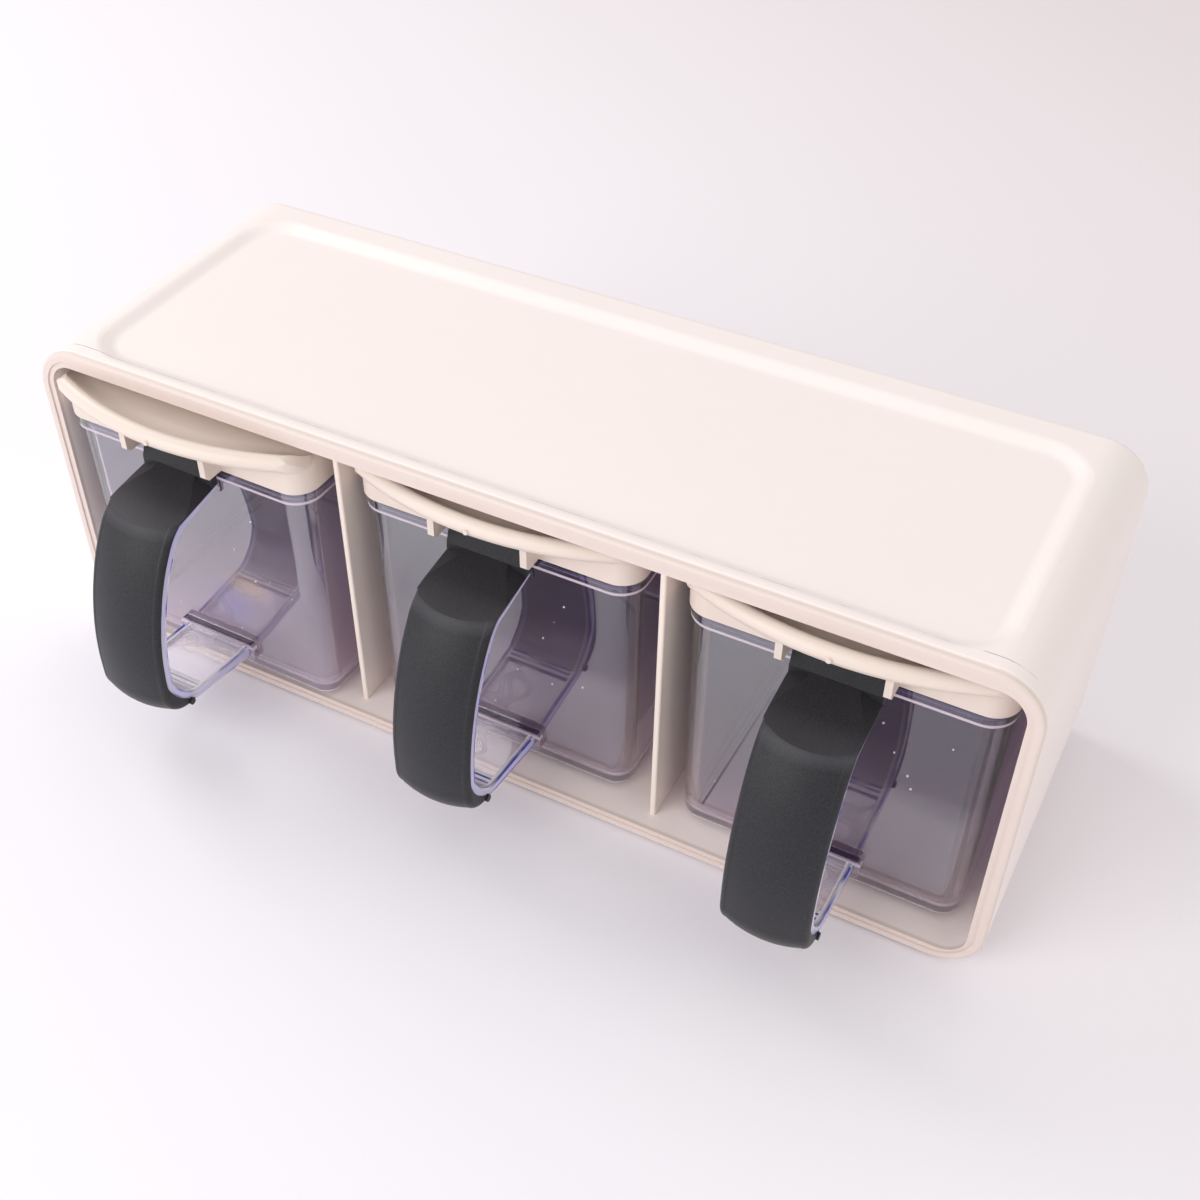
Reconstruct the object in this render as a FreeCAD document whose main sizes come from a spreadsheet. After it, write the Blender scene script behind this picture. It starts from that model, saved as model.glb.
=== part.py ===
import FreeCAD, Part
import math
import os
import re
import Sketcher
from FreeCAD import Placement, Rotation, Vector

# A case with three open compartments holds three lidded containers side by side.
# Each container slides out to the front on its own looped handle.
# Origin: centre of the case's footprint, on the table. Front faces -Y, up is +Z.

os.makedirs("parts", exist_ok=True)
doc = FreeCAD.newDocument("spice_box_set")

# Driving dimensions in millimetres, angles in degrees
SIZES = {
    # Case
    "case_length": 300.0,
    "case_depth": 104.0,
    "case_height": 108.5,
    "case_corner": 14.5,
    "case_back_round": 3.0,
    "side_wall": 4.5,
    "top_frame": 5.3,
    "bottom_frame": 4.2,
    "back_wall": 3.0,
    "opening_corner": 8.0,
    # Top tray
    "tray_side_margin": 15.5,
    "tray_front_margin": 6.5,
    "tray_back_margin": 12.5,
    "tray_ramp": 4.0,
    "tray_sink": 1.9,
    "tray_corner": 12.0,
    "tray_soft": 4.0,
    # Front bezel
    "bezel_lip": 2.2,
    "bezel_depth": 6.0,
    "bezel_band": 2.6,
    "bezel_step": 0.5,
    "bezel_round": 1.1,
    "seam_cut": 0.35,
    # Dividers
    "divider_wall": 1.8,
    "divider_round": 0.6,
    # Feet
    "foot_radius": 6.5,
    "foot_sink": 1.2,
    "foot_standout": 0.8,
    "foot_side_inset": 20.0,
    "foot_end_inset": 15.0,
    "foot_round": 0.4,
    # Containers in their places
    "jar_side_gap": 3.6,
    "jar_front_gap": 6.9,
    "jar_floor_gap": 0.3,
    "left_shift": -0.4,
    "middle_shift": -1.85,
    "right_shift": 0.15,
    "left_pulled": 8.8,
    "left_yaw": -0.9,
    # Lid
    "lid_headroom": 5.0,
    "lid_height": 10.6,
    "lid_top_wall": 2.2,
    "lid_skirt_wall": 2.0,
    "lid_corner": 7.5,
    "lid_round": 2.4,
    "lid_dish": 1.0,
    "lid_dish_margin": 9.0,
    "lid_dish_ramp": 3.0,
    "lid_neck_gap": 0.4,
    "lip_reach": 10.9,
    "lip_arc": 100.0,
    "lip_rise": 3.2,
    "lip_roll": 2.45,
    "lip_corner": 9.0,
    "lip_end_round": 6.0,
    "ear_wall": 2.0,
    "ear_reach": 6.4,
    "ear_chamfer": 1.2,
    "ear_top_bite": 0.9,
    "nub_radius": 0.75,
    "nub_reach": 0.6,
    # Jar
    "jar_wall": 2.6,
    "jar_bottom_wall": 3.0,
    "jar_taper": 0.9,
    "jar_corner": 7.0,
    "jar_bottom_round": 4.5,
    "jar_inner_round": 2.6,
    "band_gap": 0.3,
    "band_inset": 0.35,
    "band_height": 3.8,
    "band_proud": 0.8,
    "neck_height": 4.7,
    "neck_wall": 2.4,
    # Hinge at the back of the jar
    "hinge_back_gap": 1.2,
    "hinge_barrel": 2.6,
    "hinge_pin_radius": 1.2,
    "hinge_run_gap": 0.05,
    "hinge_side_gap": 0.3,
    "hinge_knuckle_width": 23.0,
    "hinge_lug_width": 4.2,
    "hinge_setback": 3.2,
    "hinge_below_skirt": 1.6,
    # Handle loop, seen from the side
    "handle_reach": 29.7,
    "handle_neck_depth": 1.9,
    "handle_neck_drop": 3.7,
    "handle_toe_height": 16.8,
    "handle_toe_reach": 18.0,
    "belly_radius_share": 1.267,
    "shoulder_radius_share": 0.849,
    "crease_radius_share": 0.268,
    "curl_radius_share": 0.812,
    "belly_angle": 24.0,
    "shoulder_angle": 36.0,
    "crease_angle": 60.0,
    "thumb_slope": 14.2,
    "plate_lean": 3.0,
    "plate_side_gap": 0.35,
    "plate_top_gap": 0.4,
    "plate_top_drop": 7.2,
    # Grip and its clear frame
    "grip_width": 25.0,
    "grip_edge": 1.6,
    "grip_crown": 1.8,
    "grip_round": 2.0,
    "grip_core": 5.0,
    "thumb_scoop": 0.9,
    "thumb_scoop_run": 5.0,
    "thumb_edge": 2.6,
    "thumb_bevel_neck": 5.6,
    "thumb_bevel_crease": 2.0,
    "thumb_drop_neck": 2.0,
    "thumb_drop_crease": 0.4,
    "frame_wall": 2.4,
    "frame_inset": 0.35,
    "toe_sweep": 20.0,
    "toe_tip": 0.7,
    "arm_turn_run": 1.2,
    "arm_turn_rise": 2.4,
    "arm_height": 13.6,
    "arm_thick": 3.5,
    "arm_groove": 1.1,
    "arm_edge": 1.6,
    "socket_reach": 1.3,
    "socket_margin": 1.8,
    "peg_radius": 1.1,
    "peg_standout": 0.6,
    "peg_inset": 2.5,
    "peg_rise": 1.3,
    # One overrun for every cut
    "overrun": 2.0,
}

# Places and sizes that follow from the driving dimensions
MADE = {
    "floor_top": "foot_standout + bottom_frame",
    "opening_top": "case_height - top_frame",
    "opening_half": "case_length / 2 - side_wall",
    "front_face": "0 - case_depth / 2",
    "divider_place": "case_length / 6",
    "side_room": "opening_half - divider_place - divider_wall / 2",
    "side_centre": "divider_place + divider_wall / 2 + side_room / 2",
    "tray_half": "case_length / 2 - tray_side_margin",
    "lid_top": "opening_top - lid_headroom",
    "lid_under": "lid_top - lid_top_wall",
    "skirt_bottom": "lid_top - lid_height",
    "skirt_half": "side_room / 2 - jar_side_gap",
    "skirt_front": "jar_front_gap",
    "hinge_y": "case_depth - back_wall - hinge_back_gap - hinge_barrel",
    "hinge_z": "skirt_bottom - hinge_below_skirt",
    "skirt_back": "hinge_y - hinge_setback",
    "band_top": "skirt_bottom - band_gap",
    "band_bottom": "band_top - band_height",
    "band_half": "skirt_half - band_inset",
    "band_front": "skirt_front + band_inset",
    "band_back": "skirt_back - band_inset",
    "neck_top": "band_top + neck_height",
    "neck_inset": "lid_skirt_wall + lid_neck_gap",
    "neck_half": "skirt_half - neck_inset",
    "neck_front": "skirt_front + neck_inset",
    "neck_back": "skirt_back - neck_inset",
    "body_half": "band_half - band_proud",
    "body_front": "band_front + band_proud",
    "body_back": "band_back - band_proud",
    "jar_bottom": "floor_top + jar_floor_gap",
    "room_floor": "jar_bottom + jar_bottom_wall",
    "mouth_half": "neck_half - neck_wall",
    "mouth_front": "neck_front + neck_wall",
    "mouth_back": "neck_back - neck_wall",
    "grip_half": "grip_width / 2",
    "plate_half": "grip_half + plate_side_gap",
    "ear_inner": "plate_half + plate_side_gap",
    "neck_y": "skirt_front - handle_neck_depth",
    "neck_z": "skirt_bottom - handle_neck_drop",
    "loop_rise": "neck_z - handle_toe_height",
    "belly_radius": "loop_rise * belly_radius_share",
    "shoulder_radius": "loop_rise * shoulder_radius_share",
    "crease_radius": "loop_rise * crease_radius_share",
    "curl_radius": "(handle_reach - handle_toe_reach) * curl_radius_share",
    "belly_y": "0 - handle_reach",
    "belly_end_y": "belly_y + belly_radius * (1 - cos(belly_angle))",
    "shoulder_end_y": "belly_end_y + shoulder_radius * (cos(belly_angle) - cos(shoulder_angle))",
    "crease_y": "shoulder_end_y + crease_radius * (cos(shoulder_angle) - cos(crease_angle))",
    "crease_z": "neck_z - (neck_y - crease_y) * tan(thumb_slope)",
    "shoulder_end_z": "crease_z - crease_radius * (sin(crease_angle) - sin(shoulder_angle))",
    "belly_end_z": "shoulder_end_z - shoulder_radius * (sin(shoulder_angle) - sin(belly_angle))",
    "belly_z": "belly_end_z - belly_radius * sin(belly_angle)",
    "curl_y": "curl_radius - handle_reach",
    "toe_y": "0 - handle_toe_reach",
    "curl_z": "handle_toe_height + sqrt(curl_radius * curl_radius - (toe_y - curl_y) * (toe_y - curl_y))",
    "plate_top": "skirt_bottom - handle_neck_drop + plate_top_drop",
    "plate_top_y": "neck_y + plate_lean",
    "socket_front": "body_front - socket_reach",
    "arm_top_wall": "arm_height + arm_thick",
    "arm_turn_y": "toe_y + arm_turn_run",
    "arm_turn_z": "handle_toe_height + arm_turn_rise",
    "arm_fall": "(arm_turn_z - arm_top_wall) / (socket_front - arm_turn_y)",
    "inner_edge": "grip_edge + frame_wall",
    "thumb_rise": "neck_z + (band_front - neck_y) * tan(thumb_slope)",
    "crown_half": "grip_half - grip_round",
    "crown_radius": "(crown_half * crown_half + grip_crown * grip_crown) / (2 * grip_crown)",
    "scoop_half": "(neck_y - crease_y + thumb_scoop_run) / cos(thumb_slope) / 2",
    "scoop_radius": "(scoop_half * scoop_half + thumb_scoop * thumb_scoop) / (2 * thumb_scoop)",
    "lip_front": "skirt_front - lip_reach",
    "lip_top": "lid_top + lip_rise",
    "lip_back_y": "lip_front + lip_roll * (1 + cos(45))",
    "lip_back_z": "lip_top - lip_roll * (1 - sin(45))",
    "valley_radius": "(lip_back_z - lid_top) / (1 - cos(45))",
    "lip_centre": "lip_front + lip_arc",
    "lip_corner_y": "lip_centre - sqrt((lip_arc - lip_corner) * (lip_arc - lip_corner)"
                    " - (skirt_half - lip_corner) * (skirt_half - lip_corner))",
    "lip_meet_x": "(skirt_half - lip_corner) * lip_arc / (lip_arc - lip_corner)",
    "lip_meet_y": "lip_centre - (lip_centre - lip_corner_y) * lip_arc / (lip_arc - lip_corner)",
}


def text(expression):
    """Spell a size out in the names of the sheet."""
    def swap(found):
        word = found.group(0)
        if word in MADE:
            return "(" + text(MADE[word]) + ")"
        if word in SIZES:
            return "sizes." + word
        return word
    return re.sub(r"[a-z][a-z_]*", swap, str(expression))


def value(expression):
    """Work a size out from the sheet."""
    return float(sheet.evalExpression(text(expression)))


sheet = doc.addObject("Spreadsheet::Sheet", "sizes")
for row, (name, number) in enumerate(SIZES.items(), start=1):
    sheet.set("A%d" % row, name)
    sheet.set("B%d" % row, str(number))
    sheet.setAlias("B%d" % row, name)
doc.recompute()

bodies = []


def new_body(label):
    """Start one solid piece."""
    body = doc.addObject("PartDesign::Body", label)
    body.Label = label
    bodies.append(body)
    return body


def new_sketch(body, name, plane, offset="0"):
    """Put an empty sketch on one of the body's own planes, moved along its normal."""
    sketch = body.newObject("Sketcher::SketchObject", body.Label + "_" + name)
    planes = [item for item in body.Origin.OriginFeatures if item.Role == plane + "_Plane"]
    sketch.AttachmentSupport = [(planes[0], "")]
    sketch.MapMode = "FlatFace"
    sketch.setExpression("AttachmentOffset.Base.z", text(offset))
    return sketch


def pin_point(sketch, index, end, across, up):
    """Fix one end of a line or arc at a named place."""
    for kind, place in (("DistanceX", across), ("DistanceY", up)):
        number = sketch.addConstraint(Sketcher.Constraint(kind, -1, 1, index, end, value(place)))
        sketch.setExpression("Constraints[%d]" % number, text(place))


def outline(sketch, points):
    """Draw a closed outline. A point is (across, up) or (across, up, radius, turn),
    where the radius and the turn, left or right, belong to the arc that leaves it."""
    first = sketch.GeometryCount
    count = len(points)
    ends = []
    for index, point in enumerate(points):
        start = Vector(value(point[0]), value(point[1]), 0)
        follower = points[(index + 1) % count]
        stop = Vector(value(follower[0]), value(follower[1]), 0)
        if len(point) == 2:
            number = sketch.addGeometry(Part.LineSegment(start, stop), False)
            ends.append((number, 1, 2))
            continue
        number, near, far = add_arc(sketch, start, stop, point[2], point[3])
        ends.append((number, near, far))
    for index, (number, near, far) in enumerate(ends):
        follower = ends[(index + 1) % count]
        sketch.addConstraint(Sketcher.Constraint("Coincident", number, far, follower[0], follower[1]))
        pin_point(sketch, number, near, points[index][0], points[index][1])
    for index, point in enumerate(points):
        if len(point) == 4:
            bind_radius(sketch, ends[index][0], point[2])
    return first


def add_arc(sketch, start, stop, radius, turn):
    """Draw the short arc between two points, turning left or right."""
    size = value(radius)
    middle = (start + stop) * 0.5
    chord = stop - start
    height = math.sqrt(max(size * size - chord.Length * chord.Length / 4, 0))
    normal = Vector(-chord.y, chord.x, 0).normalize()
    side = 1 if turn == "left" else -1
    centre = middle + normal * (height * side)
    begin, end = (start, stop) if turn == "left" else (stop, start)
    angle_begin = math.atan2(begin.y - centre.y, begin.x - centre.x)
    angle_end = math.atan2(end.y - centre.y, end.x - centre.x)
    circle = Part.Circle(centre, Vector(0, 0, 1), size)
    number = sketch.addGeometry(Part.ArcOfCircle(circle, angle_begin, angle_end), False)
    return (number, 1, 2) if turn == "left" else (number, 2, 1)


def bind_radius(sketch, number, radius):
    """Tie an arc's or a circle's radius to the sheet."""
    constraint = sketch.addConstraint(Sketcher.Constraint("Radius", number, value(radius)))
    sketch.setExpression("Constraints[%d]" % constraint, text(radius))


def path(sketch, points):
    """Draw an open run of lines and arcs for a section to follow."""
    ends = []
    for index, point in enumerate(points[:-1]):
        start = Vector(value(point[0]), value(point[1]), 0)
        stop = Vector(value(points[index + 1][0]), value(points[index + 1][1]), 0)
        if len(point) == 2:
            ends.append((sketch.addGeometry(Part.LineSegment(start, stop), False), 1, 2))
        else:
            ends.append(add_arc(sketch, start, stop, point[2], point[3]))
    for index, (number, near, far) in enumerate(ends):
        pin_point(sketch, number, near, points[index][0], points[index][1])
        if index + 1 < len(ends):
            follower = ends[index + 1]
            joined = Sketcher.Constraint("Coincident", number, far, follower[0], follower[1])
            sketch.addConstraint(joined)
        else:
            pin_point(sketch, number, far, points[-1][0], points[-1][1])
        if len(points[index]) == 4:
            bind_radius(sketch, number, points[index][2])


def rounded(left, right, low, high, corner):
    """Corner points of a rectangle with rounded corners."""
    inner_left = "%s + (%s)" % (left, corner)
    inner_right = "%s - (%s)" % (right, corner)
    inner_low = "%s + (%s)" % (low, corner)
    inner_high = "%s - (%s)" % (high, corner)
    return [
        (inner_left, low), (inner_right, low, corner, "left"),
        (right, inner_low), (right, inner_high, corner, "left"),
        (inner_right, high), (inner_left, high, corner, "left"),
        (left, inner_high), (left, inner_low, corner, "left"),
    ]


def circle(sketch, across, up, radius):
    """Draw a round outline at a named place."""
    centre = Vector(value(across), value(up), 0)
    number = sketch.addGeometry(Part.Circle(centre, Vector(0, 0, 1), value(radius)), False)
    pin_point(sketch, number, 3, across, up)
    bind_radius(sketch, number, radius)


def pad(body, sketch, length, both=False, back=False):
    """Raise a solid from a sketch, to one side or evenly to both."""
    feature = body.newObject("PartDesign::Pad", sketch.Label + "_pad")
    feature.Profile = sketch
    feature.setExpression("Length", text(length))
    if both:
        feature.SideType = "Symmetric"
    feature.Reversed = back
    return settle(body, feature, 1)


def pocket(body, sketch, length, both=False, back=False):
    """Cut a sketch into the solid, to one side or evenly to both."""
    feature = body.newObject("PartDesign::Pocket", sketch.Label + "_cut")
    feature.Profile = sketch
    feature.setExpression("Length", text(length))
    if both:
        feature.SideType = "Symmetric"
    feature.Reversed = back
    return settle(body, feature, -1)


def settle(body, feature, growth):
    """Recompute and see that the feature added or removed material as meant."""
    before = feature.BaseFeature.Shape.Volume if feature.BaseFeature else 0
    doc.recompute()
    if "Invalid" in feature.State or "Error" in feature.State or feature.Shape.isNull():
        raise RuntimeError("feature failed: " + feature.Name)
    if (feature.Shape.Volume - before) * growth <= 0:
        raise RuntimeError("feature changed nothing: " + feature.Name)
    body.Tip = feature
    return feature


def loft(body, kind, sketches, growth):
    """Join two or more outlines into a solid, or take that solid away."""
    feature = body.newObject("PartDesign::" + kind, sketches[0].Label + "_loft")
    feature.Profile = sketches[0]
    feature.Sections = sketches[1:]
    feature.Ruled = True
    return settle(body, feature, growth)


def soften(body, kind, radius, choose, growth=-1):
    """Round or bevel the edges that the test picks."""
    base = body.Tip
    names = ["Edge%d" % number for number, edge in enumerate(base.Shape.Edges, start=1)
             if choose(edge.BoundBox)]
    feature = body.newObject("PartDesign::" + kind, base.Label + "_" + kind.lower())
    feature.Base = (base, names)
    feature.setExpression("Radius" if kind == "Fillet" else "Size", text(radius))
    return settle(body, feature, growth)


def level(axis, place, slack=1e-4):
    """Test for edges that lie flat at one place on an axis."""
    where = value(place)

    def test(box):
        low = getattr(box, axis + "Min")
        high = getattr(box, axis + "Max")
        return abs(low - where) < slack and abs(high - where) < slack
    return test


# Case shell
case_outline = rounded("0 - case_length / 2", "case_length / 2", "foot_standout", "case_height",
                       "case_corner")
opening_outline = rounded("0 - opening_half", "opening_half", "floor_top", "opening_top",
                          "opening_corner")
collar_outline = rounded("0 - case_length / 2 + bezel_band", "case_length / 2 - bezel_band",
                         "foot_standout + bezel_band", "case_height - bezel_band",
                         "case_corner - bezel_band")

shell = new_body("case_shell")
block = new_sketch(shell, "block", "XZ", "front_face")
outline(block, case_outline)
pad(shell, block, "case_depth - bezel_lip")
soften(shell, "Fillet", "case_back_round", level("Y", "case_depth / 2"))
room = new_sketch(shell, "room", "XZ", "back_wall - case_depth / 2")
outline(room, opening_outline)
pocket(shell, room, "case_depth - back_wall + overrun", back=True)
rebate = new_sketch(shell, "rebate", "XZ", "case_depth / 2 - bezel_depth")
outline(rebate, collar_outline)
pocket(shell, rebate, "bezel_depth + overrun", back=True)
tray_rim = new_sketch(shell, "tray_rim", "XY", "case_height")
outline(tray_rim, rounded("0 - tray_half - tray_ramp / 2", "tray_half + tray_ramp / 2",
                          "front_face + tray_front_margin - tray_ramp / 2",
                          "case_depth / 2 - tray_back_margin + tray_ramp / 2",
                          "tray_corner + tray_ramp / 2"))
tray_bed = new_sketch(shell, "tray_bed", "XY", "case_height - tray_sink")
outline(tray_bed, rounded("0 - tray_half + tray_ramp / 2", "tray_half - tray_ramp / 2",
                          "front_face + tray_front_margin + tray_ramp / 2",
                          "case_depth / 2 - tray_back_margin - tray_ramp / 2",
                          "tray_corner - tray_ramp / 2"))
loft(shell, "SubtractiveLoft", [tray_rim, tray_bed], -1)
soften(shell, "Fillet", "tray_soft", level("Z", "case_height - tray_sink"), growth=1)
soften(shell, "Fillet", "tray_soft",
       lambda box: box.ZMin > value("case_height - tray_sink / 2")
       and box.YMin > value("front_face + tray_front_margin - tray_ramp")
       and box.YMax < value("case_depth / 2 - tray_back_margin + tray_ramp"))
feet_places = [("foot_" + end + "_" + side, across, along)
               for end, along in (("front", "front_face + foot_end_inset"),
                                  ("back", "case_depth / 2 - foot_end_inset"))
               for side, across in (("left", "foot_side_inset - case_length / 2"),
                                    ("right", "case_length / 2 - foot_side_inset"))]
feet_places.append(("foot_middle", "0", "0"))
seats = new_sketch(shell, "seats", "XY", "foot_standout")
for name, across, along in feet_places:
    circle(seats, across, along, "foot_radius")
pocket(shell, seats, "foot_sink", back=True)
soften(shell, "Chamfer", "seam_cut",
       lambda box: level("Y", "front_face + bezel_lip")(box)
       and (abs(box.XMin) > value("opening_half + side_wall - bezel_band / 2")
            or abs(box.XMax) > value("opening_half + side_wall - bezel_band / 2")
            or box.ZMin > value("case_height - bezel_band / 2")
            or box.ZMax < value("foot_standout + bezel_band / 2")))

# Front bezel: an outer band, a slightly sunk inner band and a collar that enters the shell.
# It is kept as four stretches that meet face to face: two straight bars and two rounded ends.
def make_bezel(label, others):
    """One stretch of the bezel, left over once the outline of the others is cut away."""
    bezel = new_body(label)
    band = new_sketch(bezel, "band", "XZ", "case_depth / 2 - bezel_lip")
    outline(band, case_outline)
    pad(bezel, band, "bezel_lip")
    soften(bezel, "Fillet", "bezel_round", level("Y", "front_face"))
    soften(bezel, "Chamfer", "seam_cut", level("Y", "front_face + bezel_lip"))
    collar = new_sketch(bezel, "collar", "XZ", "case_depth / 2 - bezel_depth")
    outline(collar, collar_outline)
    pad(bezel, collar, "bezel_depth - bezel_lip")
    step = new_sketch(bezel, "step", "XZ", "case_depth / 2 - bezel_step")
    outline(step, collar_outline)
    pocket(bezel, step, "bezel_step + overrun", back=True)
    mouth = new_sketch(bezel, "mouth", "XZ", "case_depth / 2 - bezel_depth - overrun")
    outline(mouth, opening_outline)
    pocket(bezel, mouth, "bezel_depth + 2 * overrun", back=True)
    rest = new_sketch(bezel, "rest", "XZ", "case_depth / 2 - bezel_depth - overrun")
    outline(rest, others)
    pocket(bezel, rest, "bezel_depth + 2 * overrun", back=True)


bar_end = "(case_length / 2 - case_corner - overrun)"
beyond = "(case_length / 2 + overrun)"
below = "foot_standout - overrun"
above = "case_height + overrun"
for label, far, near in (("bezel_top", below, above), ("bezel_bottom", above, below)):
    make_bezel(label, [("0 - " + beyond, near), ("0 - " + bar_end, near),
                       ("0 - " + bar_end, "case_height / 2"), (bar_end, "case_height / 2"),
                       (bar_end, near), (beyond, near), (beyond, far), ("0 - " + beyond, far)])
for label, sign in (("bezel_left_end", ""), ("bezel_right_end", "0 - ")):
    make_bezel(label, [("0 - " + bar_end if sign == "" else bar_end, below),
                       (sign + beyond, below), (sign + beyond, above),
                       ("0 - " + bar_end if sign == "" else bar_end, above)])

# Dividers: thin upright walls that start behind the bezel
for side, place in (("left", "0 - divider_place"), ("right", "divider_place")):
    divider = new_body(side + "_divider")
    wall = new_sketch(divider, "wall", "XY", "floor_top")
    outline(wall, [(place + " - divider_wall / 2", "front_face + bezel_depth"),
                   (place + " + divider_wall / 2", "front_face + bezel_depth"),
                   (place + " + divider_wall / 2", "case_depth / 2 - back_wall"),
                   (place + " - divider_wall / 2", "case_depth / 2 - back_wall")])
    pad(divider, wall, "opening_top - floor_top")
    soften(divider, "Fillet", "divider_round",
           lambda box: level("Y", "front_face + bezel_depth")(box) and box.ZLength > box.XLength)

# Feet: soft pads in round seats under the shell
for name, across, along in feet_places:
    foot = new_body(name)
    disc = new_sketch(foot, "disc", "XY")
    circle(disc, across, along, "foot_radius")
    pad(foot, disc, "foot_standout + foot_sink")
    soften(foot, "Fillet", "foot_round", level("Z", "0"))


def loop_line(inset):
    """Points down the loop's side view, a set distance inside its outer edge,
    from the crease under the thumb rest to the belly."""
    points = []
    for angle, across, up, radius in (
            ("crease_angle", "crease_y", "crease_z", "crease_radius"),
            ("shoulder_angle", "shoulder_end_y", "shoulder_end_z", "shoulder_radius"),
            ("belly_angle", "belly_end_y", "belly_end_z", "belly_radius")):
        points.append(("%s + (%s) * cos(%s)" % (across, inset, angle),
                       "%s - (%s) * sin(%s)" % (up, inset, angle),
                       "%s - (%s)" % (radius, inset), "left"))
    return points


def turned(points):
    """The same run of points taken the other way, with right turns."""
    run = []
    for index in (2, 1, 0):
        point = points[index]
        if index > 0:
            run.append((point[0], point[1], points[index - 1][2], "right"))
        else:
            run.append((point[0], point[1]))
    return run


# Where the clear strip and the black cover meet, from the neck down to the toe
TOP_SEAM = ("band_front", "thumb_rise - thumb_edge / cos(thumb_slope)")
TOE_SEAM = [("belly_y + grip_edge", "belly_z", "toe_sweep", "left"),
            ("toe_y", "handle_toe_height + toe_tip")]


def make_jar(side):
    """The clear container with its rim band, neck, hinge lugs and handle seats."""
    jar = new_body(side + "_jar")
    base = new_sketch(jar, "base", "XY", "jar_bottom")
    outline(base, rounded("0 - body_half + jar_taper", "body_half - jar_taper",
                          "body_front + jar_taper", "body_back - jar_taper",
                          "jar_corner - jar_taper"))
    shoulder = new_sketch(jar, "shoulder", "XY", "band_bottom")
    outline(shoulder, rounded("0 - body_half", "body_half", "body_front", "body_back",
                              "jar_corner"))
    loft(jar, "AdditiveLoft", [base, shoulder], 1)
    soften(jar, "Fillet", "jar_bottom_round", level("Z", "jar_bottom"))
    rim = new_sketch(jar, "rim", "XY", "band_bottom")
    outline(rim, rounded("0 - band_half", "band_half", "band_front", "band_back",
                         "jar_corner + band_proud"))
    pad(jar, rim, "band_height")
    neck = new_sketch(jar, "neck", "XY", "band_top")
    outline(neck, rounded("0 - neck_half", "neck_half", "neck_front", "neck_back",
                          "jar_corner - neck_inset + lid_neck_gap"))
    pad(jar, neck, "neck_height")
    seat = new_sketch(jar, "seat", "XZ", "0 - body_front - jar_wall / 2")
    outline(seat, [("0 - plate_half", "band_bottom - band_height - band_proud"),
                   ("plate_half", "band_bottom - band_height - band_proud"),
                   ("plate_half", "band_bottom"), ("0 - plate_half", "band_bottom")])
    pad(jar, seat, "band_proud + jar_wall / 2")
    socket = new_sketch(jar, "socket", "XZ", "0 - body_front - jar_taper - jar_wall / 2")
    outline(socket, rounded("0 - grip_half - socket_margin", "grip_half + socket_margin",
                            "arm_height - socket_margin", "arm_top_wall + socket_margin",
                            "socket_margin"))
    pad(jar, socket, "socket_reach + jar_taper + jar_wall / 2")
    lugs = new_sketch(jar, "lugs", "YZ")
    outline(lugs, [("band_back - jar_corner / 2", "band_bottom"),
                   ("hinge_y", "hinge_z - hinge_barrel", "hinge_barrel", "left"),
                   ("hinge_y + hinge_barrel", "hinge_z", "hinge_barrel", "left"),
                   ("hinge_y", "hinge_z + hinge_barrel", "hinge_barrel", "left"),
                   ("hinge_y - hinge_barrel", "hinge_z"),
                   ("band_back - jar_corner / 2", "band_top")])
    pad(jar, lugs, "hinge_knuckle_width + 2 * hinge_side_gap + 2 * hinge_lug_width", both=True)
    gap = new_sketch(jar, "gap", "YZ")
    outline(gap, [("band_back", "band_bottom - overrun"),
                  ("hinge_y + hinge_barrel + overrun", "band_bottom - overrun"),
                  ("hinge_y + hinge_barrel + overrun", "hinge_z + hinge_barrel + overrun"),
                  ("band_back", "hinge_z + hinge_barrel + overrun")])
    pocket(jar, gap, "hinge_knuckle_width + 2 * hinge_side_gap", both=True)
    bore = new_sketch(jar, "bore", "YZ")
    circle(bore, "hinge_y", "hinge_z", "hinge_pin_radius")
    pocket(jar, bore, "hinge_knuckle_width + 4 * hinge_lug_width", both=True)
    well = new_sketch(jar, "well", "XY", "room_floor")
    outline(well, rounded("0 - body_half + jar_taper + jar_wall", "body_half - jar_taper - jar_wall",
                          "body_front + jar_taper + jar_wall", "body_back - jar_taper - jar_wall",
                          "jar_corner - jar_wall"))
    mouth = new_sketch(jar, "mouth", "XY", "neck_top")
    outline(mouth, rounded("0 - mouth_half", "mouth_half", "mouth_front", "mouth_back",
                           "jar_corner - jar_wall"))
    loft(jar, "SubtractiveLoft", [well, mouth], -1)
    soften(jar, "Fillet", "jar_inner_round", level("Z", "room_floor"), growth=1)
    return jar


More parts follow.
